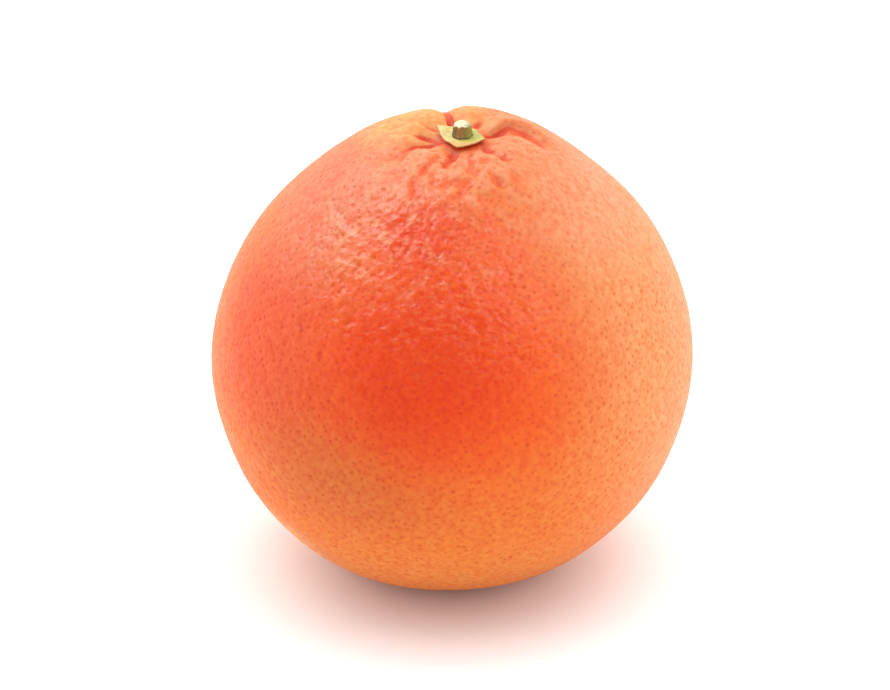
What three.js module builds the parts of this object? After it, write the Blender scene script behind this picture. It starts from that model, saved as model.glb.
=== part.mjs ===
// A whole grapefruit, standing on its blossom end with its cut stem on top.
//
// It is three pieces, as on the real fruit: the fruit in its rind, the star of dried sepals that
// sits in the hollow of the stem end, and the stub of the stem that was clipped off above them.
// Units are millimetres, +Z is up, and the origin is the middle of the spot that it rests on.

import * as THREE from "three";

// The outline of the fruit
// [radius, height] from the edge of the resting spot up the side, over the shoulder to the crest
// of the stem end and down into its hollow. The shoulder is nearly a cone and the base is
// flatter, so the widest part lies below the middle.
const OUTLINE = [
  [12, 0],
  [16.5, 0.3],
  [24.3, 2.2],
  [32.2, 6],
  [38.7, 11.4],
  [44.5, 18.4],
  [48.9, 26],
  [53.6, 41.5],
  [54, 50],
  [52.9, 58.5],
  [50.4, 67],
  [47, 74.6],
  [42.3, 81.7],
  [36.8, 87.7],
  [30.6, 93.5],
  [24.3, 98.4],
  [17, 102.4],
  [11.5, 103.9],
  [8.5, 103.1],
  [6.5, 102.4],
  [4.8, 102.2],
  [3.2, 102.2],
];
const SEAT_HEIGHT = 102.2; // the flat bottom of the hollow, which the calyx sits on
const SEAT_RADIUS = 3.2;
const SCAR_RADIUS = 6.5; // the blossom scar is a dimple inside the resting spot
const SCAR_DEPTH = 0.9;

// The fruit isn't quite round: it is longest across one diagonal
const OVAL_SIZE = 0.45;
const OVAL_ANGLE = 45;

// The stem end isn't quite in the middle, and it leans
const STEM_END_X = 2; // how far the hollow, the calyx and the stem stand towards +X
const LEAN_HEIGHT = 0.45; // how much the high side of the crest rises, and the low side sinks
const LEAN_ANGLE = 115; // the high side
const CREST_RADIUS = 11;
const SHOULDER_RADIUS = 26; // where the stem end has merged with the round of the fruit

// Furrows that run outwards from the hollow
// angle: where it crosses the crest, in degrees from +X. turn: degrees it swings on the way out,
// for each millimetre. depth: at its deepest. reach: the radius where it has faded out.
// width: from its bottom to its shoulders, at the crest.
const FURROWS = [
  { angle: 17, turn: -2.0, depth: 2.2, reach: 26, width: 2.3 },
  { angle: 58, turn: -1.0, depth: 1.2, reach: 25, width: 1.5 },
  { angle: 101, turn: -0.5, depth: 2.3, reach: 33, width: 1.3 },
  { angle: 127, turn: -0.4, depth: 0.9, reach: 25, width: 1.2 },
  { angle: 145, turn: 0.6, depth: 1.1, reach: 24, width: 1.5 },
  { angle: 174, turn: -1.6, depth: 1.4, reach: 22, width: 1.7 },
  { angle: 204, turn: 1.5, depth: 1.8, reach: 24, width: 1.7 },
  { angle: 255, turn: 0.2, depth: 1.8, reach: 21, width: 1.5 },
  { angle: 284, turn: -1.0, depth: 1.0, reach: 18, width: 1.4 },
  { angle: 317, turn: -1.2, depth: 1.5, reach: 22, width: 2.0 },
  { angle: 343, turn: -0.6, depth: 0.9, reach: 19, width: 1.4 },
];
const FURROW_START = 3.5; // radius where furrows begin, just outside the seat
const FURROW_FULL = 8.5; // radius where they are at full depth
const ROUNDING = 0.7; // of the bottom of a furrow

// The calyx
// [angle, reach, curl] at the tips of its five sepals and in the bays between them: how far it
// reaches from the middle of the stem, and how far its edge stands off the rind.
const CALYX_EDGE = [
  [-20, 5.7, 0.4],
  [15, 4.3, 0.4],
  [50, 4.8, 0.4],
  [100, 4.4, 0.4],
  [150, 6.9, 1.1],
  [180, 4.8, 0.5],
  [205, 4.6, 0.4],
  [230, 4.7, 0.4],
  [260, 6.5, 0.4],
  [300, 5.1, 0.4],
];
const CALYX_THICKNESS = 0.6;
const COLLAR_RADIUS = 2.9; // the raised green collar round the foot of the stem
const COLLAR_HEIGHT = 0.8; // its flat top, above the seat
const COLLAR_SLOPE = 1.2; // how far out the collar takes to run down into the sepals

// The stem
const STEM_HEIGHT = 2.7;
const STEM_FOOT_RADIUS = 2.4;
const STEM_TOP_RADIUS = 2.0;
const STEM_EDGE = 0.3; // the worn edge of the cut
const STEM_RIBS = 7;
const STEM_RIB_DEPTH = 0.1;
const CUT_SLOPE = -0.16; // the cut face rises towards -Y

// How finely each surface is divided
const FRUIT_SECTORS = 116;
const FINE_GAP = 1; // between two rings on the stem end
const COARSE_GAP = 6.2; // between two rings on the side
const FINE_ABOVE = 96; // height where the stem end begins
const CALYX_SECTORS = 72;
const CALYX_RINGS = 7;
const STEM_SECTORS = 42;

const radians = THREE.MathUtils.degToRad;
const smoothstep = THREE.MathUtils.smoothstep;
const lerp = THREE.MathUtils.lerp;

// The angle from b to a, in radians, between -PI and PI
function angleBetween(a, b) {
  return Math.atan2(Math.sin(a - b), Math.cos(a - b));
}

// A surface of revolution about Z, from a profile of [radius, height] that runs from axis to
// axis. Each vertex is then moved to where place(radius, angle, height) says.
function turned(profile, sectors, place) {
  const points = profile.map(([r, z]) => new THREE.Vector2(r, z));
  const geometry = new THREE.LatheGeometry(points, sectors);
  geometry.rotateX(Math.PI / 2);
  const position = geometry.getAttribute("position");
  for (let i = 0; i < position.count; i++) {
    const r = Math.hypot(position.getX(i), position.getY(i));
    const angle = Math.atan2(position.getY(i), position.getX(i));
    position.setXYZ(i, ...place(r, angle, position.getZ(i)));
  }
  geometry.computeVertexNormals();
  return geometry;
}

// A point at a radius and an angle from the middle of the stem end
function aroundStem(r, angle, z) {
  return [STEM_END_X + r * Math.cos(angle), r * Math.sin(angle), z];
}

// The fruit

// How deep the furrows are at a radius and an angle. A furrow is narrow at its bottom and has
// rounded shoulders, as where two folds of rind meet, and it widens on its way out.
function furrowDepth(r, angle) {
  let deepest = 0;
  for (const { angle: start, turn, depth, reach, width } of FURROWS) {
    const middle = radians(start + turn * (r - CREST_RADIUS));
    const across = Math.abs(angleBetween(angle, middle)) * r;
    const wide = width * lerp(0.6, 1, r / CREST_RADIUS);
    const inner = smoothstep(r, FURROW_START, FURROW_FULL);
    const outer = 1 - smoothstep(r, 0.45 * reach, reach);
    const shape = Math.exp((ROUNDING - Math.hypot(across, ROUNDING)) / wide);
    deepest = Math.max(deepest, depth * inner * outer * shape);
  }
  return deepest;
}

// How much the lean lifts or lowers the stem end
function leanRise(r, angle) {
  const inner = smoothstep(r, FURROW_START, CREST_RADIUS);
  const outer = 1 - smoothstep(r, CREST_RADIUS, SHOULDER_RADIUS);
  return LEAN_HEIGHT * inner * outer * Math.cos(angle - radians(LEAN_ANGLE));
}

// Rings along the outline, close together on the stem end and further apart on the side
function outlineRings() {
  const corners = OUTLINE.map(([r, z]) => new THREE.Vector3(r, z, 0));
  const curve = new THREE.CatmullRomCurve3(corners, false, "centripetal");
  const length = curve.getLength();
  const rings = [];
  let along = 0;
  while (along < length) {
    const { x, y } = curve.getPointAt(along / length);
    rings.push([x, y]);
    along += y > FINE_ABOVE ? FINE_GAP : COARSE_GAP;
  }
  return rings;
}

const RINGS = outlineRings();

function fruitGeometry() {
  const scar = [0, 0.35, 0.7].map((share) => [
    SCAR_RADIUS * share,
    SCAR_DEPTH * Math.cos((share * Math.PI) / 2) ** 2,
  ]);
  const seat = [[SEAT_RADIUS, SEAT_HEIGHT], [0, SEAT_HEIGHT]];
  const profile = [...scar, [SCAR_RADIUS, 0], ...RINGS, ...seat];
  return turned(profile, FRUIT_SECTORS, (r, angle, z) => {
    const onSide = smoothstep(r, OUTLINE[0][0], 2 * OUTLINE[0][0]);
    const oval = OVAL_SIZE * onSide * Math.cos(2 * (angle - radians(OVAL_ANGLE)));
    const [x, y] = aroundStem(r + oval, angle, z);
    if (z < SEAT_HEIGHT / 2) return [x - STEM_END_X, y, z];
    const back = STEM_END_X * smoothstep(r, SEAT_RADIUS, SHOULDER_RADIUS);
    return [x - back, y, z + leanRise(r, angle) - furrowDepth(r, angle)];
  });
}

// The calyx

// The height of the stem end at a radius, before its furrows are cut
function stemEndHeight(r) {
  const i = RINGS.findIndex(([ringRadius, z]) => z > FINE_ABOVE && ringRadius < r);
  if (i < 0) return SEAT_HEIGHT;
  const [innerRadius, innerHeight] = RINGS[i];
  const [outerRadius, outerHeight] = RINGS[i - 1];
  const share = (r - innerRadius) / (outerRadius - innerRadius);
  return lerp(innerHeight, outerHeight, share);
}

// The reach and the curl of the calyx at an angle. Its edge is straight from point to point.
function calyxEdge(angle) {
  const first = radians(CALYX_EDGE[0][0]);
  const turn = THREE.MathUtils.euclideanModulo(angle - first + 1e-6, 2 * Math.PI);
  const points = [...CALYX_EDGE, [CALYX_EDGE[0][0] + 360, ...CALYX_EDGE[0].slice(1)]];
  const after = points.findIndex(([degrees]) => radians(degrees) - first > turn);
  const [fromDegrees, fromReach, fromCurl] = points[after - 1];
  const [toDegrees, toReach, toCurl] = points[after];
  const from = radians(fromDegrees) - first;
  const to = radians(toDegrees) - first;
  const past = fromReach * Math.sin(turn - from);
  const left = toReach * Math.sin(to - turn);
  const reach = (fromReach * toReach * Math.sin(to - from)) / (past + left);
  return { reach, curl: lerp(fromCurl, toCurl, (turn - from) / (to - from)) };
}

function calyxGeometry() {
  const profile = [];
  for (let i = 0; i <= CALYX_RINGS; i++) profile.push([i / CALYX_RINGS, 0]);
  for (let i = CALYX_RINGS; i >= 0; i--) profile.push([i / CALYX_RINGS, 1]);
  return turned(profile, CALYX_SECTORS, (share, angle, isUpper) => {
    const { reach, curl } = calyxEdge(angle);
    const r = share * lerp(2 * SEAT_RADIUS - reach * 0.5, reach, share);
    const offSeat = smoothstep(r, SEAT_RADIUS, SEAT_RADIUS + 1);
    const onRind = stemEndHeight(r) + leanRise(r, angle);
    const under = lerp(SEAT_HEIGHT, onRind + curl * lerp(0.75, 1, share), offSeat);
    const onCollar = 1 - smoothstep(r, COLLAR_RADIUS, COLLAR_RADIUS + COLLAR_SLOPE);
    const thickness = lerp(CALYX_THICKNESS, COLLAR_HEIGHT, onCollar);
    return aroundStem(r, angle, under + isUpper * thickness);
  });
}

// The stem

function stemGeometry() {
  const foot = SEAT_HEIGHT + COLLAR_HEIGHT;
  const top = foot + STEM_HEIGHT;
  const profile = [
    [0, foot],
    [STEM_FOOT_RADIUS * 0.95, foot],
    [STEM_FOOT_RADIUS, foot + 0.3],
    [STEM_FOOT_RADIUS * 0.94, foot + 0.9],
    [STEM_TOP_RADIUS * 1.03, top - 0.9],
    [STEM_TOP_RADIUS, top - STEM_EDGE],
    [STEM_TOP_RADIUS - STEM_EDGE, top],
    [0, top],
  ];
  return turned(profile, STEM_SECTORS, (r, angle, z) => {
    const ribbed = r + STEM_RIB_DEPTH * (r / STEM_TOP_RADIUS) * Math.cos(STEM_RIBS * angle);
    const share = (z - foot) / (top - foot);
    const slope = CUT_SLOPE * ribbed * Math.sin(angle) * share;
    return aroundStem(ribbed, angle, z + slope);
  });
}

function piece(name, geometry, finish) {
  const mesh = new THREE.Mesh(geometry, new THREE.MeshStandardMaterial(finish));
  mesh.name = name;
  return mesh;
}

const grapefruit = new THREE.Group();
grapefruit.add(
  piece("fruit", fruitGeometry(), { color: 0xf5703a, roughness: 0.42, metalness: 0 }),
  piece("calyx", calyxGeometry(), { color: 0xd6cb6a, roughness: 0.7, metalness: 0 }),
  piece("stem", stemGeometry(), { color: 0x8a8748, roughness: 0.8, metalness: 0 }),
);

export default grapefruit;
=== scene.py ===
# %% [markdown]
# # A grapefruit
#
# The fruit stands on its blossom end with its calyx and the stub of its cut stem on top. Its
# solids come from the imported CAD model, as a frame that stays fixed. This file makes what shows:
# a fine skin with its oil-gland pits, the dried sepals, the stub, their materials, and a small
# white studio.
#
# Lengths are in metres in Blender. Small ones are easier to read in millimetres, so they are
# written as 0.8 * MM.

import math
import random

import bmesh
import bpy
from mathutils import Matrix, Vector, kdtree, noise
from mathutils.bvhtree import BVHTree


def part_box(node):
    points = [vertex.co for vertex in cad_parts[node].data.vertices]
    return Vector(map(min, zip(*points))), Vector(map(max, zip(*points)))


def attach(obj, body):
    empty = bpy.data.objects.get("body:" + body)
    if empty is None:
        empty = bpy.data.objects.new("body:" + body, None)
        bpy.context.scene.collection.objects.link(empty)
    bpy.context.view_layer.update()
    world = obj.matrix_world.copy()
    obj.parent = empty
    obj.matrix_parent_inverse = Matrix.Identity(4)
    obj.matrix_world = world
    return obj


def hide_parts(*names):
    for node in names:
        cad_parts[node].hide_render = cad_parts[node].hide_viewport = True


MM = 0.001
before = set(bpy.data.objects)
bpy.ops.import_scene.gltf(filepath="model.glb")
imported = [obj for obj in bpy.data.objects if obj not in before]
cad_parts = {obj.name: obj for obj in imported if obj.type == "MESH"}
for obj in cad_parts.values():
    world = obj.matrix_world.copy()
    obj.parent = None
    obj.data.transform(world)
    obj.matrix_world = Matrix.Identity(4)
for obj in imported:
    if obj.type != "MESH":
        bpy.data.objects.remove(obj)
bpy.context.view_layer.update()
random.seed(11)

# %% [markdown]
# ## The camera
#
# The photograph looks down at the fruit by 28 degrees with a long lens, which keeps the outline
# nearly free of perspective. A long lens could be placed by eye, but the angle and the distance
# are known here, so the camera is put on a line from the point that it aims at.

# %% Camera
CAMERA_HEIGHT_ANGLE = math.radians(28)
CAMERA_DISTANCE = 1.0
SENSOR_WIDTH = 36  # Blender gives the sensor and the lens in millimetres
LENS = 180.5
AIM = Vector((-1.68, 0.1, 51.0)) * MM  # a little left of the middle, as in the photograph

camera = bpy.data.objects.new("camera", bpy.data.cameras.new("camera"))
camera.data.sensor_width = SENSOR_WIDTH
camera.data.lens = LENS
camera.data.clip_end = 50  # metres, so that the whole floor shows
towards_camera = Vector((0, -math.cos(CAMERA_HEIGHT_ANGLE), math.sin(CAMERA_HEIGHT_ANGLE)))
camera.location = AIM + CAMERA_DISTANCE * towards_camera
camera.rotation_euler = (math.pi / 2 - CAMERA_HEIGHT_ANGLE, 0, 0)
bpy.context.scene.collection.objects.link(camera)
bpy.context.scene.camera = camera
print("camera at", [round(v, 3) for v in camera.location])

# %% [markdown]
# ## The form under the skin
#
# The CAD solid is made of flat triangles. The skin needs a smooth form to lie on, so a copy of
# the solid is merged, its triangles are joined in pairs to quads, and two levels of subdivision
# round it off. It could be used as the skin itself, but its quads are long and thin at the poles,
# and pits need even ones. So it only serves as the form, in a tree that finds where a ray hits it.


# %% A smooth form from a CAD node
DOUBLES = 0.002 * MM  # vertices closer than this are one
ANY_ANGLE = 3.1  # radians: triangles are joined whatever their angle


def form_of(node, levels):
    """A search tree over a smoothed copy of a CAD node."""
    bm = bmesh.new()
    bm.from_mesh(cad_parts[node].data)
    bmesh.ops.remove_doubles(bm, verts=bm.verts, dist=DOUBLES)
    bmesh.ops.join_triangles(
        bm, faces=bm.faces, angle_face_threshold=ANY_ANGLE, angle_shape_threshold=ANY_ANGLE
    )
    mesh = bpy.data.meshes.new("form")
    bm.to_mesh(mesh)
    bm.free()
    copy = bpy.data.objects.new("form", mesh)
    bpy.context.scene.collection.objects.link(copy)
    if levels:
        rounding = copy.modifiers.new("rounding", "SUBSURF")
        rounding.levels = rounding.render_levels = levels
    tree = BVHTree.FromObject(copy, bpy.context.evaluated_depsgraph_get())
    bpy.data.objects.remove(copy)
    bpy.data.meshes.remove(mesh)
    return tree


fruit_form = form_of("fruit", levels=2)
fruit_low, fruit_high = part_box("fruit")
stem_low, stem_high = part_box("stem")
MIDDLE_HEIGHT = 50 * MM
MIDDLE = Vector((0, 0, MIDDLE_HEIGHT))  # rays to the skin start here
STEM_X = (stem_low.x + stem_high.x) / 2
print("stem axis at x =", round(STEM_X / MM, 2), "mm")

# %% [markdown]
# ## The skin
#
# A grapefruit's rind is one closed surface. A UV sphere would crowd its vertices at the stem,
# and an icosphere has triangles, which subdivide badly. A cube whose faces are cut into a fine
# grid and blown up into a ball has quads of nearly one size everywhere. The grid's lines are
# spread by a tangent, and the top gets more of them, because the folds round the stem are small.

# %% A ball of even quads, laid on the form
GRID_CUTS = 127
TOP_CROWDING = 0.3  # how much closer the vertices are at the stem end


def spread(value):
    """Spreads a grid line's place, from -1 to 1, so that the quads on the ball are even."""
    return math.tan(value * math.pi / 4)


def crowd_to_top(direction):
    """Turns a direction a little towards +Z, most of all on the upper half."""
    tilt = direction.angle(Vector((0, 0, 1)))
    turned = tilt - TOP_CROWDING * math.sin(tilt) * (1 + math.cos(tilt)) / 2
    flat = Vector((direction.x, direction.y, 0))
    if flat.length < 1e-9:
        return direction
    return flat.normalized() * math.sin(turned) + Vector((0, 0, math.cos(turned)))


def on_form(direction):
    """The point of the form in a direction from the middle of the fruit."""
    hit = fruit_form.ray_cast(MIDDLE, direction)[0]
    return hit if hit else MIDDLE + direction * MIDDLE_HEIGHT


skin = bmesh.new()
bmesh.ops.create_cube(skin, size=2)
bmesh.ops.subdivide_edges(skin, edges=skin.edges[:], cuts=GRID_CUTS, use_grid_fill=True)
for vertex in skin.verts:
    direction = Vector([spread(value) for value in vertex.co]).normalized()
    vertex.co = on_form(crowd_to_top(direction))
for _ in range(2):
    bmesh.ops.smooth_vert(
        skin, verts=skin.verts, factor=0.4, use_axis_x=True, use_axis_y=True, use_axis_z=True
    )
skin.normal_update()
print("skin:", len(skin.verts), "vertices,", 2 * len(skin.faces), "triangles")

# %% [markdown]
# ## Creases at the stem end
#
# The solid has the broad furrows. Between them run a few sharper creases, each with a raised lip
# on either side, and a few short dents. They are sunk along lines of given points, seen from
# above, as a thumb would press them. They could be sculpted, but a list of points can be read and
# changed. The numbers are millimetres from the middle of the fruit. A crease of less than no
# depth is a ridge: it stands behind the fold that swirls to the right.

# %% Press the creases
CREASES = (  # depth, width, points
    (0.8, 0.8, ((6.5, 1.5), (9, 3.2), (11, 4.7), (13.3, 5.6))),
    (1.6, 1.9, ((12.4, 4.6), (14.6, 4.8), (16.6, 4.0), (18.6, 2.4), (20.2, 0.4))),
    (-0.55, 1.0, ((7.2, 2.9), (9.2, 5.2), (11.6, 7.2), (14.4, 7.9), (17.4, 7.0), (20, 4.8))),
    (1.0, 0.65, ((0.4, 5.0), (-0.3, 8.5), (-1.2, 12.5), (-1.8, 16))),
    (0.7, 1.2, ((-2, -1.2), (-4.5, 0.2), (-7.5, 1.4))),
    (0.8, 0.9, ((0.6, -7), (-0.4, -10.5), (-1.6, -14))),
    (0.55, 0.8, ((3.3, -8), (3.7, -12), (3.1, -16.5))),
    (0.5, 0.8, ((6.0, -7.2), (6.9, -11), (6.4, -15.5))),
    (0.6, 1.0, ((-2.5, -1.6), (-5.2, -2.3), (-7.8, -4), (-10.2, -7))),
    (0.7, 1.2, ((10.2, -8.4), (12.6, -10.4))),
    (0.6, 1.2, ((9.6, -17.2), (11, -18.6))),
    (0.5, 1.2, ((-14.6, 5.6), (-12.9, 4.9), (-10.8, 4.9))),
)
LIP_WIDTH = 2.3  # in widths of the crease
LIP_SHARE = 0.32  # of the crease's depth
CREASED_ABOVE = 92 * MM
CREASED_REACH = 26 * MM


def crease_distance(spot, points):
    """The distance from a spot to a line of points, and how far along it the nearest point is."""
    nearest, along = math.inf, 0
    for index, (first, second) in enumerate(zip(points, points[1:])):
        start = Vector(first)
        end = Vector(second)
        share = (spot - start).dot(end - start) / (end - start).length_squared
        share = min(max(share, 0), 1)
        distance = (start.lerp(end, share) - spot).length
        if distance < nearest:
            nearest, along = distance, (index + share) / (len(points) - 1)
    return nearest, along


def crease_depth(spot):
    """How deep the creases are at a spot. A lip is a depth below zero."""
    deep = 0
    for depth, width, points in CREASES:
        distance, along = crease_distance(spot, points)
        if distance < 3 * LIP_WIDTH * width:
            groove = math.exp(-((distance / width) ** 2))
            lip = LIP_SHARE * math.exp(-((distance / width / LIP_WIDTH) ** 2))
            taper = 1 - 0.6 * abs(2 * along - 1) ** 3
            deep += depth * taper * (groove - lip)
    return deep


creased = [
    v for v in skin.verts if v.co.z > CREASED_ABOVE and v.co.xy.length < CREASED_REACH
]
for vertex in creased:
    vertex.co -= vertex.normal * crease_depth(vertex.co.xy / MM) * MM
skin.normal_update()
print("creased vertices:", len(creased))

# %% [markdown]
# ## Where the skin is hollow
#
# The furrows at the stem end are redder than the folds between them, and the material paints
# shade into them as well, so it has to know where they are. A blurred copy of the skin cuts
# across furrows and folds: where the copy is above the skin there is a hollow, and where it is
# below there is a fold. That height difference is kept on the vertices as an attribute, which a
# material can read.

# %% Measure the hollows
BLUR_STEPS = 40
hollow = skin.verts.layers.float.new("hollow")
blurred = skin.copy()
for _ in range(BLUR_STEPS):
    bmesh.ops.smooth_vert(
        blurred, verts=blurred.verts, factor=0.5, use_axis_x=True, use_axis_y=True, use_axis_z=True
    )
blurred.verts.ensure_lookup_table()
skin.verts.ensure_lookup_table()
for vertex, soft in zip(skin.verts, blurred.verts):
    vertex[hollow] = (soft.co - vertex.co).dot(vertex.normal) / MM
blurred.free()
depths = [vertex[hollow] for vertex in skin.verts]
print("hollows reach", round(max(depths), 2), "mm, folds", round(min(depths), 2), "mm")

# %% [markdown]
# ## Oil glands
#
# Every citrus rind is dotted with oil glands. Over each one the surface sinks to a small pit,
# less than 2 mm from the next. A texture alone would colour them, but the outline and the gloss
# need real pits. They are spread as a sunflower spreads its seeds, which gives an even but not a
# regular pattern, and each is shifted a little at random. The nearest vertex slides along the
# skin to the middle of each pit, so that even a grid as coarse as this one holds them.

# %% Spread the glands and sink the pits
GLANDS = 11200
GLAND_SHIFT = 0.6 * MM
FAINTEST_GLAND = 0.2
PIT_REACH = 0.95 * MM
PIT_DEPTH = 0.13 * MM
GOLDEN_ANGLE = math.pi * (3 - math.sqrt(5))


def smoothstep(low, high, value):
    """Goes smoothly from 0 to 1 as the value goes from low to high."""
    share = min(max((value - low) / (high - low), 0), 1)
    return share * share * (3 - 2 * share)


def gland_place(index):
    """The place of a gland on the form."""
    height = 1 - 2 * (index + 0.5) / GLANDS
    flat = math.sqrt(1 - height * height)
    turn = index * GOLDEN_ANGLE
    direction = Vector((flat * math.cos(turn), flat * math.sin(turn), height))
    shift = Vector([random.uniform(-1, 1) for _ in range(3)]) * GLAND_SHIFT / MIDDLE_HEIGHT
    return on_form((direction + shift).normalized())


glands = [gland_place(index) for index in range(GLANDS)]
strengths = [random.uniform(FAINTEST_GLAND, 1) for _ in glands]

vertex_finder = kdtree.KDTree(len(skin.verts))
for index, vertex in enumerate(skin.verts):
    vertex_finder.insert(vertex.co, index)
vertex_finder.balance()
for index, place in enumerate(glands):
    vertex = skin.verts[vertex_finder.find(place)[1]]
    shift = place - vertex.co
    vertex.co += shift - vertex.normal * shift.dot(vertex.normal)
    glands[index] = vertex.co.copy()

gland_finder = kdtree.KDTree(GLANDS)
for index, place in enumerate(glands):
    gland_finder.insert(place, index)
gland_finder.balance()
pit_depths = []
for vertex in skin.verts:
    _, index, distance = gland_finder.find(vertex.co)
    pit_depths.append(PIT_DEPTH * strengths[index] * (1 - smoothstep(0, PIT_REACH, distance)))
print("glands:", GLANDS, "with pits up to", round(max(pit_depths) / MM, 3), "mm deep")

# %% [markdown]
# The material draws a dot over each gland, and the dots have to be finer than the grid. So every
# face keeps, at its corners, how far each corner is from the gland nearest to the face. Between
# the corners the renderer works out the rest, which makes the dots exactly round.

# %% Tell each face where its gland is
from_gland = skin.loops.layers.float_vector.new("from_gland")
gland_strength = skin.loops.layers.float.new("gland_strength")
for face in skin.faces:
    place, index, _ = gland_finder.find(face.calc_center_median())
    for corner in face.loops:
        corner[from_gland] = (corner.vert.co - place) / MM
        corner[gland_strength] = strengths[index]
print("faces with a gland:", len(skin.faces))

# %% [markdown]
# ## Pebbles and lumps
#
# Between its pits the rind is pebbled and finely wrinkled, more strongly on the shoulder than low
# on the side, and the whole fruit is a little lumpy. In front of the calyx, knobs run down from
# the stem end. All of them come from noise, which moves each vertex along its normal. Wrinkles
# are thin ridges: they stand where the noise passes through zero. All the moves go inwards, so
# that the fruit stays inside its CAD box. The knobs are also kept as an attribute, because the
# material paints them paler than the gaps between them: partly their own colour, partly painted
# highlight on the knobs and painted shade in the gaps.

# %% Shape the surface
FRONT_OF_SHOULDER = Vector((-8, -36, 86)) * MM
STEM_END = Vector((2, 0, 104)) * MM
KNOBS_FACE = Vector((-0.2, -0.98))  # towards the front and a little to the left
PEBBLE_SIZE = 2.6 * MM
PEBBLE_LOW = 0.03 * MM
PEBBLE_HIGH = 0.2 * MM
WRINKLE_SIZE = 3.4 * MM
KNOB_HEIGHT = 0.65 * MM
FRONT_PITS = 0.2  # how much deeper the pits are where the pebbles are strongest
LUMP_SIZE = 22 * MM
LUMP_HEIGHT = 0.22 * MM
SEAT = 3 * MM  # the moves fade out here, where the calyx sits


def pebbling(place):
    """How strong the pebbles are: strongest on the front of the shoulder, then at the stem end."""
    in_front = 1 - smoothstep(10 * MM, 52 * MM, (place - FRONT_OF_SHOULDER).length)
    on_top = 1 - smoothstep(12 * MM, 26 * MM, (place - STEM_END).length)
    return PEBBLE_LOW + (PEBBLE_HIGH - PEBBLE_LOW) * max(in_front, 0.5 * on_top)


def knobs(place):
    """The knobs that run down the front from the stem end, between -1 and 1."""
    out = math.hypot(place.x - STEM_X, place.y) / MM
    turn = math.atan2(place.y, place.x - STEM_X)
    facing = Vector((math.cos(turn), math.sin(turn))).dot(KNOBS_FACE)
    zone = smoothstep(6, 10, out) * (1 - smoothstep(17, 30, out)) * smoothstep(0.3, 0.95, facing)
    return zone * noise.noise(Vector((turn * 8, out / 3.6, 5)))


knob = skin.verts.layers.float.new("knob")
for vertex, pit_depth in zip(skin.verts, pit_depths):
    place = vertex.co.copy()
    relief = pebbling(place)
    pit_depth *= 1 + FRONT_PITS * relief / PEBBLE_HIGH
    lump = noise.noise(place / LUMP_SIZE) - 0.7
    pebble = noise.noise(place / PEBBLE_SIZE) + 0.9 * noise.noise(place / PEBBLE_SIZE / 2)
    wrinkle = 1 - 4 * abs(noise.noise(place / WRINKLE_SIZE))
    vertex[knob] = knobs(place) if place.z > MIDDLE.z else 0
    sink = LUMP_HEIGHT * lump + relief * (0.7 * pebble + 0.6 * wrinkle - 1.1) - pit_depth
    sink += KNOB_HEIGHT * (vertex[knob] - 0.3 * abs(vertex[knob]))
    from_stem = math.hypot(place.x - STEM_X, place.y) if place.z > MIDDLE.z else place.length
    vertex.co += vertex.normal * sink * smoothstep(SEAT, 3 * SEAT, from_stem)
print("lumps", LUMP_HEIGHT / MM, "mm, pebbles", PEBBLE_LOW / MM, "to", PEBBLE_HIGH / MM, "mm")

# %% [markdown]
# ## Set the fruit down
#
# The moves above have made the fruit some tenths of a millimetre smaller all round, so it is
# stretched sideways to the width of its solid again. Its lowest part is stretched down as well,
# and what would go through the floor is laid flat on it, as the weight of a real fruit presses
# its lowest part flat.

# %% Stretch it to size and flatten the resting spot
SETTLE_BELOW = 9 * MM
FLATTENED = 0.12 * MM
SPARE = 0.02 * MM  # how far the skin stays inside the solid's box
for side in (0, 1):
    widest = max(abs(vertex.co[side]) for vertex in skin.verts)
    stretch = (fruit_high[side] - SPARE) / widest
    for vertex in skin.verts:
        vertex.co[side] *= stretch
    print("stretched by", round(stretch, 4), "along", "xy"[side])
lowest = min(vertex.co.z for vertex in skin.verts)
press = lowest + FLATTENED
for vertex in skin.verts:
    share = 1 - smoothstep(0, SETTLE_BELOW, vertex.co.z)
    vertex.co.z = max(0, vertex.co.z - press * share)
resting = sum(vertex.co.z < 0.001 * MM for vertex in skin.verts)
print("vertices that touch the floor:", resting)

# %% [markdown]
# ## A finished piece
#
# Each piece ends the same way: its faces are turned outwards, its mesh becomes an object, the
# object is hung from the root body, and the CAD solid that it replaces is hidden. One helper does
# it for all three pieces.


# %% Hand the skin over
def piece(name, bm, node):
    """Makes a finished mesh a piece that stands for a CAD node."""
    bmesh.ops.recalc_face_normals(bm, faces=bm.faces)
    mesh = bpy.data.meshes.new(name)
    bm.to_mesh(mesh)
    bm.free()
    mesh.shade_smooth()
    made = bpy.data.objects.new(name, mesh)
    bpy.context.scene.collection.objects.link(made)
    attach(made, "root")
    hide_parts(node)
    return made


rind = piece("rind_skin", skin, "fruit")

# %% [markdown]
# ## The calyx
#
# The calyx is what is left of the flower: five dried sepals round a green collar that holds the
# stem. Each could be a leaf of its own, but on the fruit they are one blade. So it starts as a
# row of points from the stem axis outwards, which is spun to a disc and extruded to a blade. Each
# point is then moved out to the edge of the CAD calyx and onto its upper or lower face, so that
# the blade lies exactly where the solid does, and the wrinkles are added on top.

# %% Measure the CAD calyx
calyx_form = form_of("calyx", levels=0)
calyx_low, calyx_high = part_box("calyx")
axis = Vector((STEM_X, 0, 0))


EDGE_STEP = 5  # degrees
EDGE_STEPS = 360 // EDGE_STEP


def edge_of_calyx():
    """The radius of the CAD calyx at every step round the axis."""
    reach = [0.0] * (EDGE_STEPS + 1)
    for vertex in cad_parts["calyx"].data.vertices:
        out = vertex.co - axis
        turn = math.degrees(math.atan2(out.y, out.x)) % 360
        step = round(turn / EDGE_STEP)
        reach[step] = max(reach[step], math.hypot(out.x, out.y))
    reach[0] = max(reach[0], reach[EDGE_STEPS])
    reach[EDGE_STEPS] = reach[0]
    return reach


calyx_edge = edge_of_calyx()


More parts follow.
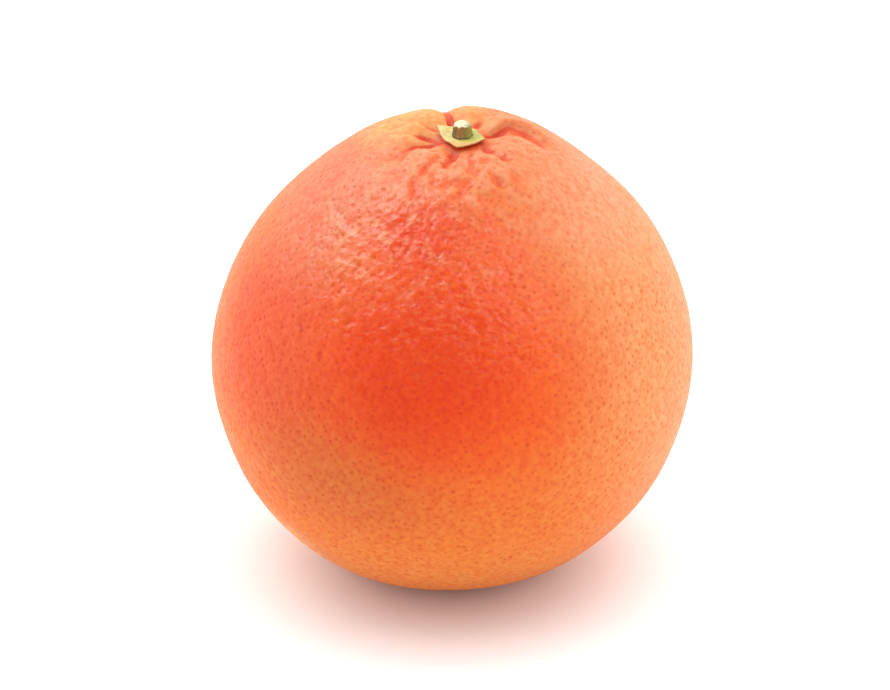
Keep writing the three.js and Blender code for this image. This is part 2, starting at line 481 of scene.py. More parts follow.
def calyx_reach(turn):
    """The radius of the CAD calyx in a direction, between two steps as well."""
    step = math.degrees(turn) % 360 / EDGE_STEP
    low = int(step)
    return calyx_edge[low] + (calyx_edge[low + 1] - calyx_edge[low]) * (step - low)


print("calyx reaches", round(min(calyx_edge) / MM, 1), "to", round(max(calyx_edge) / MM, 1), "mm")

# %% Spin and extrude the blade
BLADE_RINGS = 26
BLADE_STEPS = 180
HIGH_ABOVE = 0.2  # metres: rays start well above the fruit
blade = bmesh.new()
at_rim = blade.verts.layers.float.new("at_rim")
row = [blade.verts.new((STEM_X + ring / BLADE_RINGS, 0, 0)) for ring in range(BLADE_RINGS + 1)]
for first, second in zip(row, row[1:]):
    blade.edges.new((first, second))
bmesh.ops.spin(
    blade,
    geom=blade.verts[:] + blade.edges[:],
    cent=axis,
    axis=(0, 0, 1),
    angle=2 * math.pi,
    steps=BLADE_STEPS,
    use_merge=True,
)
bmesh.ops.remove_doubles(blade, verts=blade.verts, dist=0.0001)
raised = bmesh.ops.extrude_face_region(blade, geom=blade.faces[:], use_keep_orig=True)["geom"]
upper = {item for item in raised if isinstance(item, bmesh.types.BMVert)}


def on_calyx(place, from_above):
    """The height of the CAD calyx's upper or lower face at a place."""
    start = Vector((place.x, place.y, HIGH_ABOVE if from_above else calyx_low.z - 1 * MM))
    direction = Vector((0, 0, -1 if from_above else 1))
    hit = calyx_form.ray_cast(start, direction)[0]
    return hit.z if hit else None


for vertex in blade.verts:
    out = vertex.co - axis
    share = math.hypot(out.x, out.y)
    turn = math.atan2(out.y, out.x)
    around = Vector((math.cos(turn), math.sin(turn), 0.3))
    frayed = 0.965 + 0.02 * noise.noise(around * 6) + 0.018 * noise.noise(around * 15)
    vertex[at_rim] = share
    radius = share * calyx_reach(turn) * frayed
    place = Vector((STEM_X + radius * math.cos(turn), radius * math.sin(turn), 0))
    is_upper = vertex in upper
    place.z = on_calyx(place, is_upper) or calyx_low.z
    veins = noise.noise(Vector((turn * 5, radius / (4 * MM), 2.0)))
    wrinkle = noise.noise(place / (1.1 * MM))
    outer = smoothstep(2.9 * MM, 4 * MM, radius)
    rim = smoothstep(0.93, 1, share)
    if is_upper:
        place.z -= outer * (0.13 + 0.1 * veins + 0.07 * wrinkle + 0.12 * rim) * MM
    else:
        place.z += outer * (0.05 + 0.04 * wrinkle + 0.10 * rim) * MM
    vertex.co = place
calyx = piece("sepals", blade, "calyx")
print("sepals:", len(calyx.data.polygons), "faces")

# %% [markdown]
# ## The stem stub
#
# The stem was clipped just above the calyx. It is a short, ribbed post with fibrous bark, a worn
# edge and a rough cut face that rises towards the front. A cylinder with a displacement would do,
# but a profile that is spun round the axis also gives the flare at the foot. The ribs and the
# fibres are then moves of its points in and out.

# %% Spin the stub
STUB_STEPS = 168
FOOT = stem_low.z
TOP = FOOT + 2.7 * MM
FOOT_RADIUS = 2.36 * MM
TOP_RADIUS = 1.96 * MM
RIBS = 7
DOME = 0.32 * MM  # the cut face droops by this at its left and right


def stub_radius(height):
    """The stub's radius at a share of its height."""
    foot = 0.06 * math.exp(-((height - 0.1) ** 2) / 0.01)
    return (FOOT_RADIUS + (TOP_RADIUS - FOOT_RADIUS) * height**0.7) * (1 + foot * 0.4)


profile = [(share * FOOT_RADIUS * 0.94, 0.0) for share in (0, 0.5, 0.9)]
profile += [(stub_radius(height / 20), height / 20) for height in range(1, 19)]
profile += [(TOP_RADIUS * 0.99, 0.935), (TOP_RADIUS * 0.95, 0.97)]
profile += [(TOP_RADIUS * share, 1.0) for share in (0.88, 0.76, 0.62, 0.48, 0.34, 0.2, 0.08, 0)]

stub = bmesh.new()
row = [stub.verts.new((STEM_X + r, 0, FOOT + h * (TOP - FOOT))) for r, h in profile]
for first, second in zip(row, row[1:]):
    stub.edges.new((first, second))
bmesh.ops.spin(
    stub,
    geom=stub.verts[:] + stub.edges[:],
    cent=axis,
    axis=(0, 0, 1),
    angle=2 * math.pi,
    steps=STUB_STEPS,
    use_merge=True,
)
bmesh.ops.remove_doubles(stub, verts=stub.verts, dist=0.0005 * MM)
for vertex in stub.verts:
    out = vertex.co - axis
    radius = math.hypot(out.x, out.y)
    turn = math.atan2(out.y, out.x)
    height = (vertex.co.z - FOOT) / (TOP - FOOT)
    on_side = smoothstep(0.7, 1, radius / TOP_RADIUS)
    around = Vector((math.cos(turn), math.sin(turn), height * 0.25))
    ribs = 0.10 * math.cos(RIBS * turn + 0.5 * height)
    fibres = 0.12 * noise.noise(around * 9) + 0.05 * noise.noise(around * 23)
    grown = radius + on_side * (ribs + fibres - 0.08) * MM
    dome = DOME * (1 - (radius * math.cos(turn) / TOP_RADIUS) ** 2) * height**3
    rough = smoothstep(0.9, 1, height) * noise.noise(vertex.co / (0.6 * MM))
    vertex.co.x = STEM_X + grown * math.cos(turn)
    vertex.co.y = grown * math.sin(turn)
    vertex.co.z += dome + (0.08 * rough - 0.12 * height) * MM
stem = piece("stem_stub", stub, "stem")
print("stub:", len(stem.data.polygons), "faces")

# %% [markdown]
# ## Helpers for materials
#
# A material is a tree of nodes. Each line here adds one node and links what goes into it, so the
# recipes below read like a list of steps.


# %% Nodes in one line each
def node(tree, kind, inputs=None, **settings):
    """A node of that kind. An input is a value, or another node's output to link."""
    made = tree.nodes.new("ShaderNode" + kind)
    for name, value in settings.items():
        setattr(made, name, value)
    for socket, value in (inputs or {}).items():
        if isinstance(value, bpy.types.NodeSocket):
            tree.links.new(value, made.inputs[socket])
        else:
            made.inputs[socket].default_value = value
    return made


def maths(tree, operation, *values):
    """One sum, such as ADD, of values or of other nodes' outputs."""
    return node(tree, "Math", dict(enumerate(values)), operation=operation).outputs[0]


def ramp(tree, value, low, high, start=0.0, end=1.0):
    """A smooth step from start to end as the value goes from low to high."""
    sockets = {"Value": value, "From Min": low, "From Max": high, "To Min": start, "To Max": end}
    return node(tree, "MapRange", sockets, interpolation_type="SMOOTHSTEP").outputs["Result"]


def mixed(tree, share, first, second, blend="MIX"):
    """One colour mixed into another by a share."""
    sockets = {0: share, 6: first, 7: second}
    return node(tree, "Mix", sockets, data_type="RGBA", blend_type=blend).outputs[2]


def colour(red, green, blue):
    """Turns a colour as a screen shows it, from 0 to 255, into the light that Blender uses."""
    light = []
    for value in (red, green, blue):
        value = value / 255
        light.append(value / 12.92 if value <= 0.04045 else ((value + 0.055) / 1.055) ** 2.4)
    return (*light, 1.0)


def millimetres(tree):
    """The place on the object, in millimetres."""
    place = node(tree, "TexCoord").outputs["Object"]
    scaled = node(tree, "VectorMath", {0: place, "Scale": 1000.0}, operation="SCALE")
    return scaled.outputs["Vector"]


def noise_at(tree, place, size, detail=2.0, roughness=0.5, distortion=0.0):
    """Noise whose grains are about that many millimetres across, from 0 to 1."""
    sockets = {
        "Vector": place,
        "Scale": 1 / size,
        "Detail": detail,
        "Roughness": roughness,
        "Distortion": distortion,
    }
    return node(tree, "TexNoise", sockets).outputs["Fac"]


def attribute(tree, name):
    """A number that the mesh keeps on its vertices or corners."""
    return node(tree, "Attribute", attribute_name=name).outputs["Fac"]


def new_material(name):
    """An empty material, its tree and its shader."""
    made = bpy.data.materials.new(name)
    made.use_nodes = True
    shader = made.node_tree.nodes["Principled BSDF"]
    return made, made.node_tree, shader


def new_group(name, inputs, outputs):
    """A shader group, its input node and its output node."""
    tree = bpy.data.node_groups.new(name, "ShaderNodeTree")
    for socket, kind, value in inputs:
        made = tree.interface.new_socket(socket, in_out="INPUT", socket_type=kind)
        if value is not None:
            made.default_value = value
    for socket, kind in outputs:
        tree.interface.new_socket(socket, in_out="OUTPUT", socket_type=kind)
    return tree, tree.nodes.new("NodeGroupInput"), tree.nodes.new("NodeGroupOutput")


def use_group(tree, group, inputs):
    """Places a shader group in a tree with its own values."""
    made = node(tree, "Group", node_tree=group)
    for socket, value in inputs.items():
        if isinstance(value, bpy.types.NodeSocket):
            tree.links.new(value, made.inputs[socket])
        else:
            made.inputs[socket].default_value = value
    return made


print("material helpers ready")

# %% [markdown]
# ## A soft patch of colour
#
# The blush on a grapefruit is no pattern but a few patches with edges that fade into the rest. A
# patch is how far a place is from the patch's middle, measured in its own reach along each axis,
# with some noise that frays the edge. It is used many times, so it is a group.

# %% Patch group
patch_group, patch_in, patch_out = new_group(
    "soft_patch",
    [
        ("Place", "NodeSocketVector", None),
        ("Middle", "NodeSocketVector", (0, 0, 0)),
        ("Reach", "NodeSocketVector", (20, 20, 20)),
        ("Inner", "NodeSocketFloat", 0.3),
        ("Fray", "NodeSocketFloat", 0.25),
    ],
    [("Mask", "NodeSocketFloat")],
)
away = node(
    patch_group,
    "VectorMath",
    {0: patch_in.outputs["Place"], 1: patch_in.outputs["Middle"]},
    operation="SUBTRACT",
).outputs[0]
scaled = node(
    patch_group, "VectorMath", {0: away, 1: patch_in.outputs["Reach"]}, operation="DIVIDE"
).outputs[0]
distance = node(patch_group, "VectorMath", {0: scaled}, operation="LENGTH").outputs["Value"]
cloud = noise_at(patch_group, patch_in.outputs["Place"], 9.0, detail=3.0, roughness=0.6)
centred = maths(patch_group, "SUBTRACT", cloud, 0.5)
frayed = maths(patch_group, "MULTIPLY", centred, patch_in.outputs["Fray"])
reach = maths(patch_group, "ADD", distance, frayed)
mask = ramp(patch_group, reach, patch_in.outputs["Inner"], 1.0, 1.0, 0.0)
patch_group.links.new(mask, patch_out.inputs["Mask"])

# %% [markdown]
# ## Dark specks
#
# Small dark specks sit on the sepals and on the cut of the stem. They could be painted on, but
# then each piece would need its own picture. Here they are the middles of the cells of a Voronoi
# texture, and each cell's own random colour decides whether its speck is kept.

# %% Speck group
speck_group, speck_in, speck_out = new_group(
    "dark_specks",
    [
        ("Place", "NodeSocketVector", None),
        ("Spacing", "NodeSocketFloat", 1.0),
        ("Size", "NodeSocketFloat", 0.2),
        ("Kept", "NodeSocketFloat", 0.5),
    ],
    [("Mask", "NodeSocketFloat")],
)
fineness = maths(speck_group, "DIVIDE", 1.0, speck_in.outputs["Spacing"])
cells = node(
    speck_group, "TexVoronoi", {"Vector": speck_in.outputs["Place"], "Scale": fineness}
)
dot = ramp(speck_group, cells.outputs["Distance"], 0.0, speck_in.outputs["Size"], 1.0, 0.0)
share = node(speck_group, "SeparateColor", {"Color": cells.outputs["Color"]}).outputs[0]
kept = maths(speck_group, "LESS_THAN", share, speck_in.outputs["Kept"])
speck_group.links.new(maths(speck_group, "MULTIPLY", dot, kept), speck_out.inputs["Mask"])

# %% [markdown]
# ## The rind
#
# The rind is orange, lighter and yellower on the right and low down, with a red blush over the
# front that turns pink on the left. The folds round the stem are yellow and the furrows between
# them red, deepened with painted shade. Each colour is laid over the ones before it through a
# soft patch, as thin washes of paint would be. Some washes are painted light: painted shade
# darkens the lower left of the front, and painted bounce light lightens its edge near the floor.

# %% Rind colours
rind_material, tree, shader = new_material("citrus_rind")
place = millimetres(tree)
gland_share = attribute(tree, "gland_strength")
hollow_depth = attribute(tree, "hollow")


def patch(middle, reach, inner=0.25, fray=0.3):
    """A soft patch of the rind, placed in millimetres."""
    sockets = {"Place": place, "Middle": middle, "Reach": reach, "Inner": inner, "Fray": fray}
    return use_group(tree, patch_group, sockets).outputs["Mask"]


ORANGE = colour(217, 108, 33)
PEACH = colour(221, 135, 77)
AMBER_PAINTED_SHADE = colour(203, 97, 33)
UNDERSIDE = colour(219, 121, 46)
PAINTED_BOUNCE_LIGHT = colour(222, 152, 98)
SALMON = colour(214, 80, 32)
PINK = colour(212, 106, 66)
CORAL = colour(222, 88, 32)
RED = colour(228, 80, 8)
DEEP_RED = colour(218, 59, 0)
ROSE = colour(224, 144, 110)
SHOULDER = colour(222, 131, 84)
FOLD_YELLOW = colour(224, 150, 80)
FURROW_RED_AND_SHADE = colour(208, 62, 2)
KNOB_PALE_AND_HIGHLIGHT = colour(224, 136, 98)
BLOTCH_PALE_AND_HIGHLIGHT = colour(220, 142, 96)
PALE_STROKE_AND_GLINT = colour(238, 132, 74)
# these are multiplied with what is under them: red, green, blue and alpha
PAINTED_SHADE_DARKER = (0.93, 0.97, 0.97, 1)
MOTTLE_LIGHT = (1.03, 1.3, 1.5, 1)
MOTTLE_DARK = (0.94, 0.7, 0.55, 1)
DOT_DARK = (0.81, 0.49, 0.17, 1)
WHITE = (1, 1, 1, 1)

WASHES = (  # colour, middle and reach in millimetres, inner share that is all this colour
    # the amber wash is painted shade, where the lower left of the front gets less light
    (AMBER_PAINTED_SHADE, (-23, -44, 45), (36, 32, 31), 0.2),
    (UNDERSIDE, (0, -10, 5), (60, 60, 44), 0.6),
    # painted light: the lower left edge is lightened as light thrown up from the floor would
    (PAINTED_BOUNCE_LIGHT, (-34, -19, 15), (16, 22, 16), 0.2),
    (PEACH, (44, -14, 62), (40, 52, 66), 0.3),
    (SALMON, (-36, -30, 68), (36, 36, 33), 0.3),
    (PINK, (-27, -13, 94), (28, 30, 24), 0.2),
    (CORAL, (1, -36, 88), (28, 28, 26), 0.25),
    (RED, (0, -44, 69), (43, 34, 37), 0.3),
    (DEEP_RED, (-7, -46, 71), (30, 30, 29), 0.25),
    (DEEP_RED, (-7, -28, 93), (15, 17, 13), 0.2),
)
skin_colour = ORANGE
for wash, middle, reach, inner in WASHES:
    skin_colour = mixed(tree, patch(middle, reach, inner), skin_colour, wash)
rosy = maths(tree, "MULTIPLY", patch((27, -8, 92), (22, 28, 22), 0.3), 0.45)
skin_colour = mixed(tree, rosy, skin_colour, ROSE)
# painted shade: the lower left of the front is made a little darker still
painted_shade_lower_left = patch((-24, -42, 52), (36, 32, 23), 0.3)
skin_colour = mixed(tree, painted_shade_lower_left, skin_colour, PAINTED_SHADE_DARKER, "MULTIPLY")

# %% Colours of the stem end
stem_end = patch((STEM_X / MM, 0, 105), (34, 34, 17), 0.4, 0.4)
skin_colour = mixed(tree, maths(tree, "MULTIPLY", stem_end, 0.8), skin_colour, SHOULDER)
fold_zone = patch((STEM_X / MM - 8, 8, 105), (21, 19, 12), 0.4, 0.6)
skin_colour = mixed(tree, maths(tree, "MULTIPLY", fold_zone, 0.9), skin_colour, FOLD_YELLOW)
# the furrows get a deep red that is partly their own colour and partly painted shade
red_and_shaded_furrow = maths(tree, "MULTIPLY", ramp(tree, hollow_depth, 0.06, 0.4), stem_end)
skin_colour = mixed(tree, red_and_shaded_furrow, skin_colour, FURROW_RED_AND_SHADE)
# painted shadow: the rind under the calyx's blade is painted deep red
painted_shadow_under_calyx = patch((STEM_X / MM, 0, 102), (7.5, 7.5, 7.5), 0.5, 0.5)
skin_colour = mixed(tree, painted_shadow_under_calyx, skin_colour, FURROW_RED_AND_SHADE)

# %% [markdown]
# Seen close by, no part of the rind has one colour. It is mottled all over, blotched on the front
# of the shoulder, red between the knobs, and has short pale strokes over the blush. The pale
# blotches and knobs are partly painted highlight, the red blotches and gaps partly painted shade,
# and the strokes partly painted glints. All of these are noise of different sizes. A photograph of
# rind would give them too, but only from one side.

# %% Mottling, blotches, knobs and strokes
mottle = noise_at(tree, place, 1.5, detail=4.0, roughness=0.6)
skin_colour = mixed(tree, ramp(tree, mottle, 0.45, 0.75), skin_colour, MOTTLE_LIGHT, "MULTIPLY")
skin_colour = mixed(tree, ramp(tree, mottle, 0.55, 0.25), skin_colour, MOTTLE_DARK, "MULTIPLY")
shoulder_front = patch((-9, -25, 94), (38, 32, 22), 0.35, 0.4)
blotch = noise_at(tree, place, 3.4, detail=3.0, roughness=0.6)
# pale blotches: partly the rind's own mottling, partly painted highlight on its ridges
pale_blotch_and_highlight = maths(tree, "MULTIPLY", ramp(tree, blotch, 0.48, 0.7, 0.0, 0.6), shoulder_front)
skin_colour = mixed(tree, pale_blotch_and_highlight, skin_colour, BLOTCH_PALE_AND_HIGHLIGHT)
# red blotches: partly the rind's own colour, partly painted shade in its hollows
red_blotch_and_shade = maths(tree, "MULTIPLY", ramp(tree, blotch, 0.5, 0.32, 0.0, 0.7), shoulder_front)
skin_colour = mixed(tree, red_blotch_and_shade, skin_colour, RED)
knob_height = attribute(tree, "knob")
# the knobs are painted paler, partly as painted highlight, and the gaps between them red, partly
# as painted shade
pale_and_lit_knob = ramp(tree, knob_height, 0.04, 0.35, 0.0, 0.5)
skin_colour = mixed(tree, pale_and_lit_knob, skin_colour, KNOB_PALE_AND_HIGHLIGHT)
red_and_shaded_gap = ramp(tree, knob_height, -0.04, -0.3, 0.0, 0.65)
skin_colour = mixed(tree, red_and_shaded_gap, skin_colour, RED)
# pale strokes: partly paler ridges of the rind, partly painted glint streaks over the blush
flattened = node(tree, "VectorMath", {0: place, 1: (0.75, 1, 1.7)}, operation="MULTIPLY")
strokes = noise_at(tree, flattened.outputs["Vector"], 1.5, detail=1.0)
strokes = ramp(tree, strokes, 0.46, 0.78, 0.0, 0.26)
pale_and_glint_stroke = maths(tree, "MULTIPLY", strokes, patch((9, -36, 84), (46, 36, 26), 0.3))
skin_colour = mixed(tree, pale_and_glint_stroke, skin_colour, PALE_STROKE_AND_GLINT)

# %% [markdown]
# The dots come from the distance to the gland that each face keeps at its corners. A little noise
# makes them ragged. They are fainter on the folds, on the right of the shoulder and on the red.

# %% Gland dots
to_gland = node(tree, "Attribute", attribute_name="from_gland").outputs["Vector"]
gland_distance = node(tree, "VectorMath", {0: to_gland}, operation="LENGTH").outputs["Value"]
raggedness = maths(tree, "MULTIPLY", noise_at(tree, place, 0.45), 0.3)
ragged = maths(tree, "ADD", gland_distance, raggedness)
round_dot = ramp(tree, ragged, 0.15, 0.8, 1.0, 0.0)
few_at_stem = ramp(tree, fold_zone, 0.0, 0.6, 1.0, 0.25)
faint_at_right = ramp(tree, patch((26, -8, 88), (40, 36, 28), 0.2), 0.0, 1.0, 1.0, 0.5)
faint_on_red = ramp(tree, patch((-5, -46, 70), (34, 30, 28), 0.3), 0.0, 1.0, 1.0, 0.7)
gland_dot = maths(tree, "MULTIPLY", round_dot, gland_share)
for faintness in (few_at_stem, faint_at_right, faint_on_red):
    gland_dot = maths(tree, "MULTIPLY", gland_dot, faintness)
dotted = mixed(tree, gland_dot, WHITE, DOT_DARK)
skin_colour = mixed(tree, 1.0, skin_colour, dotted, "MULTIPLY")
tree.links.new(skin_colour, shader.inputs["Base Color"])

# %% [markdown]
# A thin natural wax gives the rind its soft gloss. It is duller in the dots and at the stem end.
# The mesh already has the pits and the wrinkles. A bump adds the finer grain between them, which
# would take a mesh many times as fine, and it breaks the gloss up into glints.

# %% Wax and fine bumps
waxy = noise_at(tree, place, 6.0, detail=2.0)
roughness = ramp(tree, waxy, 0.3, 0.7, 0.42, 0.5)
roughness = maths(tree, "ADD", roughness, maths(tree, "MULTIPLY", gland_dot, 0.15))
roughness = maths(tree, "ADD", roughness, maths(tree, "MULTIPLY", stem_end, 0.12))
glossy_shoulder = patch((-12, -24, 90), (46, 40, 34), 0.4)
roughness = maths(tree, "ADD", roughness, ramp(tree, glossy_shoulder, 0.0, 1.0, 0.04, 0.0))
tree.links.new(roughness, shader.inputs["Roughness"])
shader.inputs["Specular IOR Level"].default_value = 0.22
pebbled = ramp(tree, patch((-8, -36, 86), (56, 56, 56), 0.2), 0.0, 1.0, 0.4, 1.0)
grains = noise_at(tree, place, 1.5, detail=2.0, roughness=0.45)
from_ridge = maths(tree, "SUBTRACT", noise_at(tree, place, 2.6, detail=1.0), 0.5)
from_ridge = maths(tree, "ABSOLUTE", from_ridge)
dimple = maths(tree, "MULTIPLY", ramp(tree, gland_distance, 0.1, 0.95, 1.0, 0.0), gland_share)
height = maths(tree, "MULTIPLY", grains, 0.26)
height = maths(tree, "SUBTRACT", height, maths(tree, "MULTIPLY", dimple, 0.07))
height = maths(tree, "SUBTRACT", height, maths(tree, "MULTIPLY", from_ridge, 0.65))
height = maths(tree, "MULTIPLY", height, pebbled)
bump = node(tree, "Bump", {"Height": height, "Distance": MM, "Strength": 1.0})
tree.links.new(bump.outputs["Normal"], shader.inputs["Normal"])
rind.data.materials.append(rind_material)
print("rind material:", len(tree.nodes), "nodes")

# %% [markdown]
# ## The dried sepals
#
# The sepals have dried to a pale yellow, tan at the left and in front, with a flush of green left
# round the collar and a brown rim. Fine veins run outwards in them: they are noise that is laid
# out by the turn round the stem and the distance from it. A few dark specks sit on top.

# %% Sepal material
CALYX_HEIGHT = 102.5  # millimetres
DRY_YELLOW = colour(206, 186, 80)
DRY_TAN = colour(222, 196, 122)
COLLAR_GREEN = colour(164, 166, 60)
FRONT_TAN = colour(214, 154, 90)
RIM_BROWN = colour(168, 88, 30)
VEIN_BROWN = colour(168, 140, 66)
SEPAL_SPECK = colour(92, 70, 30)

sepal_material, tree, shader = new_material("dried_sepal")
place = millimetres(tree)
from_axis = node(
    tree, "VectorMath", {0: place, 1: (STEM_X / MM, 0, CALYX_HEIGHT)}, operation="SUBTRACT"
).outputs[0]
apart = node(tree, "SeparateXYZ", {"Vector": from_axis})
flat = node(tree, "CombineXYZ", {"X": apart.outputs["X"], "Y": apart.outputs["Y"]})
radius = node(tree, "VectorMath", {0: flat.outputs[0]}, operation="LENGTH").outputs["Value"]
turn = maths(tree, "ARCTAN2", apart.outputs["Y"], apart.outputs["X"])
across = maths(tree, "MULTIPLY", turn, 7.0)
outwards = maths(tree, "MULTIPLY", radius, 0.35)
vein_place = node(tree, "CombineXYZ", {"X": across, "Y": outwards})
veins = noise_at(tree, vein_place.outputs[0], 0.6, detail=2.0)
cloud = noise_at(tree, place, 1.6, detail=3.0, roughness=0.6)
leftness = maths(tree, "SUBTRACT", cloud, maths(tree, "MULTIPLY", apart.outputs["X"], 0.06))
sepal_colour = mixed(tree, ramp(tree, leftness, 0.3, 0.8), DRY_YELLOW, DRY_TAN)
to_right = maths(tree, "MULTIPLY", apart.outputs["X"], 0.35)
from_collar = maths(tree, "ADD", radius, maths(tree, "MULTIPLY", cloud, 1.2))
from_collar = maths(tree, "SUBTRACT", from_collar, to_right)
green = ramp(tree, from_collar, 2.8, 4.4, 0.85, 0.0)
sepal_colour = mixed(tree, green, sepal_colour, COLLAR_GREEN)
front = ramp(tree, maths(tree, "ADD", apart.outputs["Y"], cloud), -2.0, -4.6)
sepal_colour = mixed(tree, maths(tree, "MULTIPLY", front, 0.75), sepal_colour, FRONT_TAN)
browned = maths(tree, "ADD", attribute(tree, "at_rim"), maths(tree, "MULTIPLY", cloud, 0.12))
sepal_colour = mixed(tree, ramp(tree, browned, 0.97, 1.07, 0.0, 0.85), sepal_colour, RIM_BROWN)
sepal_colour = mixed(tree, ramp(tree, veins, 0.5, 0.75, 0.0, 0.4), sepal_colour, VEIN_BROWN)
specks = use_group(tree, speck_group, {"Place": place, "Spacing": 0.8, "Size": 0.36, "Kept": 0.45})
speck = maths(tree, "MULTIPLY", specks.outputs["Mask"], 0.8)
sepal_colour = mixed(tree, speck, sepal_colour, SEPAL_SPECK)
tree.links.new(sepal_colour, shader.inputs["Base Color"])
shader.inputs["Roughness"].default_value = 0.62
papery = maths(tree, "MULTIPLY", veins, 0.1)
papery = maths(tree, "ADD", papery, maths(tree, "MULTIPLY", cloud, 0.12))
bump = node(tree, "Bump", {"Height": papery, "Distance": MM, "Strength": 1.0})
tree.links.new(bump.outputs["Normal"], shader.inputs["Normal"])
calyx.data.materials.append(sepal_material)
print("sepal material:", len(tree.nodes), "nodes")

# %% [markdown]
# ## The stub's bark and cut face
#
# The bark is brown where it faces the front and the left, and still green on the right, with
# fibres that run up it. The cut face is pale cream, greener at the right, with a few dark pores
# and a smudge, and its wood shows ragged over the worn edge. One material does both: it changes
# from bark to wood at a height, which the fibres make uneven.

# %% Stem material
BARK_LEFT = colour(112, 98, 36)
BARK_BROWN = colour(156, 114, 56)
BARK_GREEN = colour(138, 134, 36)
FIBRE_DARK = colour(64, 46, 10)
FIBRE_LIGHT = colour(196, 160, 104)
WOOD_CREAM = colour(228, 214, 178)
WOOD_TAN = colour(208, 194, 142)
WOOD_GREEN = colour(134, 136, 56)
PORE = colour(110, 96, 56)
SMUDGE = colour(112, 112, 84)
FOOT_SHADE = colour(70, 50, 14)

stem_material, tree, shader = new_material("cut_stem")
place = millimetres(tree)
from_axis = node(
    tree, "VectorMath", {0: place, 1: (STEM_X / MM, 0, FOOT / MM)}, operation="SUBTRACT"
).outputs[0]
apart = node(tree, "SeparateXYZ", {"Vector": from_axis})
turn = maths(tree, "ARCTAN2", apart.outputs["Y"], apart.outputs["X"])
across = maths(tree, "MULTIPLY", turn, 3.0)
upwards = maths(tree, "MULTIPLY", apart.outputs["Z"], 0.4)
fibre_place = node(tree, "CombineXYZ", {"X": across, "Y": upwards})
fibres = noise_at(tree, fibre_place.outputs[0], 0.45, detail=3.0, roughness=0.65)
uneven = maths(tree, "SUBTRACT", fibres, 0.5)
side = maths(tree, "ADD", apart.outputs["X"], maths(tree, "MULTIPLY", uneven, 1.2))
bark = mixed(tree, ramp(tree, side, -1.7, -0.9), BARK_LEFT, BARK_BROWN)
bark = mixed(tree, ramp(tree, side, 0.3, 1.1), bark, BARK_GREEN)
bark = mixed(tree, ramp(tree, fibres, 0.47, 0.3, 0.0, 0.9), bark, FIBRE_DARK)
bark = mixed(tree, ramp(tree, fibres, 0.56, 0.7, 0.0, 0.7), bark, FIBRE_LIGHT)
cloud = noise_at(tree, place, 0.7, detail=3.0)
wood = mixed(tree, ramp(tree, cloud, 0.45, 0.75), WOOD_CREAM, WOOD_TAN)
wood = mixed(tree, ramp(tree, side, 0.5, 1.6, 0.0, 0.75), wood, WOOD_GREEN)
specks = use_group(tree, speck_group, {"Place": place, "Spacing": 0.7, "Size": 0.3, "Kept": 0.3})
wood = mixed(tree, maths(tree, "MULTIPLY", specks.outputs["Mask"], 0.75), wood, PORE)
smudge = {
    "Place": from_axis,
    "Middle": (0.8, -1.0, 2.8),
    "Reach": (0.8, 0.5, 0.5),
    "Inner": 0.3,
    "Fray": 0.6,
}
smudged = use_group(tree, patch_group, smudge).outputs["Mask"]
wood = mixed(tree, maths(tree, "MULTIPLY", smudged, 0.7), wood, SMUDGE)
to_side = maths(tree, "ABSOLUTE", apart.outputs["X"])
droop = maths(tree, "MULTIPLY", maths(tree, "POWER", to_side, 2.0), 0.083)
lift = maths(tree, "ADD", apart.outputs["Z"], droop)
ragged = maths(tree, "ADD", lift, maths(tree, "MULTIPLY", uneven, 0.9))
stem_colour = mixed(tree, ramp(tree, ragged, 2.6, 2.85), bark, wood)
foot_shade = ramp(tree, apart.outputs["Z"], 0.05, 0.5, 0.75, 0.0)
stem_colour = mixed(tree, foot_shade, stem_colour, FOOT_SHADE)
tree.links.new(stem_colour, shader.inputs["Base Color"])
shader.inputs["Roughness"].default_value = 0.7
bump = node(tree, "Bump", {"Height": fibres, "Distance": 0.15 * MM, "Strength": 1.0})
tree.links.new(bump.outputs["Normal"], shader.inputs["Normal"])
stem.data.materials.append(stem_material)
print("stem material:", len(tree.nodes), "nodes")

# %% [markdown]
# ## The studio
#
# The photograph is a high-key one: the floor and the background are pure white, and the only
# shadow is a warm one close under the fruit. White surroundings light the fruit, less so from
# behind the camera. A soft box overhead, behind the fruit's left shoulder, and a weaker one at the
# right in front make the glints in the wax. A third lamp shines on the floor alone, to keep it
# white.

# %% Floor
FLOOR_SIZE = 12  # metres from the middle to the edge

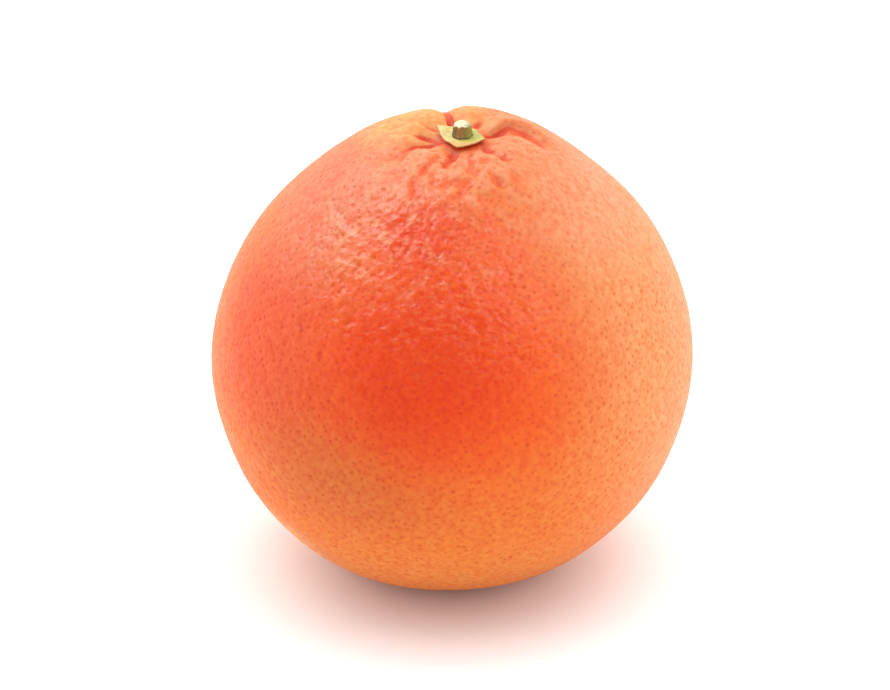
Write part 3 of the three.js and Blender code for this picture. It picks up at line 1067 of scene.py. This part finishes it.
floor_mesh = bmesh.new()
bmesh.ops.create_grid(floor_mesh, x_segments=2, y_segments=2, size=FLOOR_SIZE)
mesh = bpy.data.meshes.new("floor")
floor_mesh.to_mesh(mesh)
floor_mesh.free()
floor = bpy.data.objects.new("floor", mesh)
bpy.context.scene.collection.objects.link(floor)
floor_material, tree, shader = new_material("white_floor")
shader.inputs["Base Color"].default_value = (0.93, 0.93, 0.93, 1)
shader.inputs["Roughness"].default_value = 0.9
shader.inputs["Specular IOR Level"].default_value = 0.0
floor.data.materials.append(floor_material)

# %% Lights and surroundings
LIGHT_AIM = Vector((0, 0, 0.055))  # metres, a little above the middle of the fruit
BRIGHT = 1.97  # the strength of the surroundings, but for those behind the camera
DIM = 0.48


def soft_box(name, place, size, watts):
    """A square lamp that faces the fruit."""
    lamp = bpy.data.lights.new(name, "AREA")
    lamp.size = size
    lamp.energy = watts
    made = bpy.data.objects.new(name, lamp)
    made.location = place
    made.rotation_euler = (LIGHT_AIM - Vector(place)).to_track_quat("-Z", "Y").to_euler()
    bpy.context.scene.collection.objects.link(made)
    return made


glint_lamps = (
    soft_box("overhead", (-0.46, 0.22, 0.9), 0.55, 17),
    soft_box("right", (0.6, -0.42, 0.83), 0.45, 8),
)
for lamp in glint_lamps:
    lamp.visible_diffuse = False  # it glints in the wax, but neither lights nor shades
floor_lamp = soft_box("floor", (0, 0.1, 1.1), 1.2, 6)
only_floor = bpy.data.collections.new("lit_by_the_floor_lamp")
only_floor.objects.link(floor)
floor_lamp.light_linking.receiver_collection = only_floor
world = bpy.data.worlds.new("surroundings")
world.use_nodes = True
tree = world.node_tree
direction = node(tree, "TexCoord").outputs["Generated"]
behind_camera = node(
    tree, "VectorMath", {0: direction, 1: towards_camera}, operation="DOT_PRODUCT"
).outputs["Value"]
background = tree.nodes["Background"]
background.inputs["Color"].default_value = WHITE
strength = ramp(tree, behind_camera, 0.35, 0.95, BRIGHT, DIM)
tree.links.new(strength, background.inputs["Strength"])
bpy.context.scene.world = world
bpy.context.scene.view_settings.view_transform = "Standard"
print("studio ready")
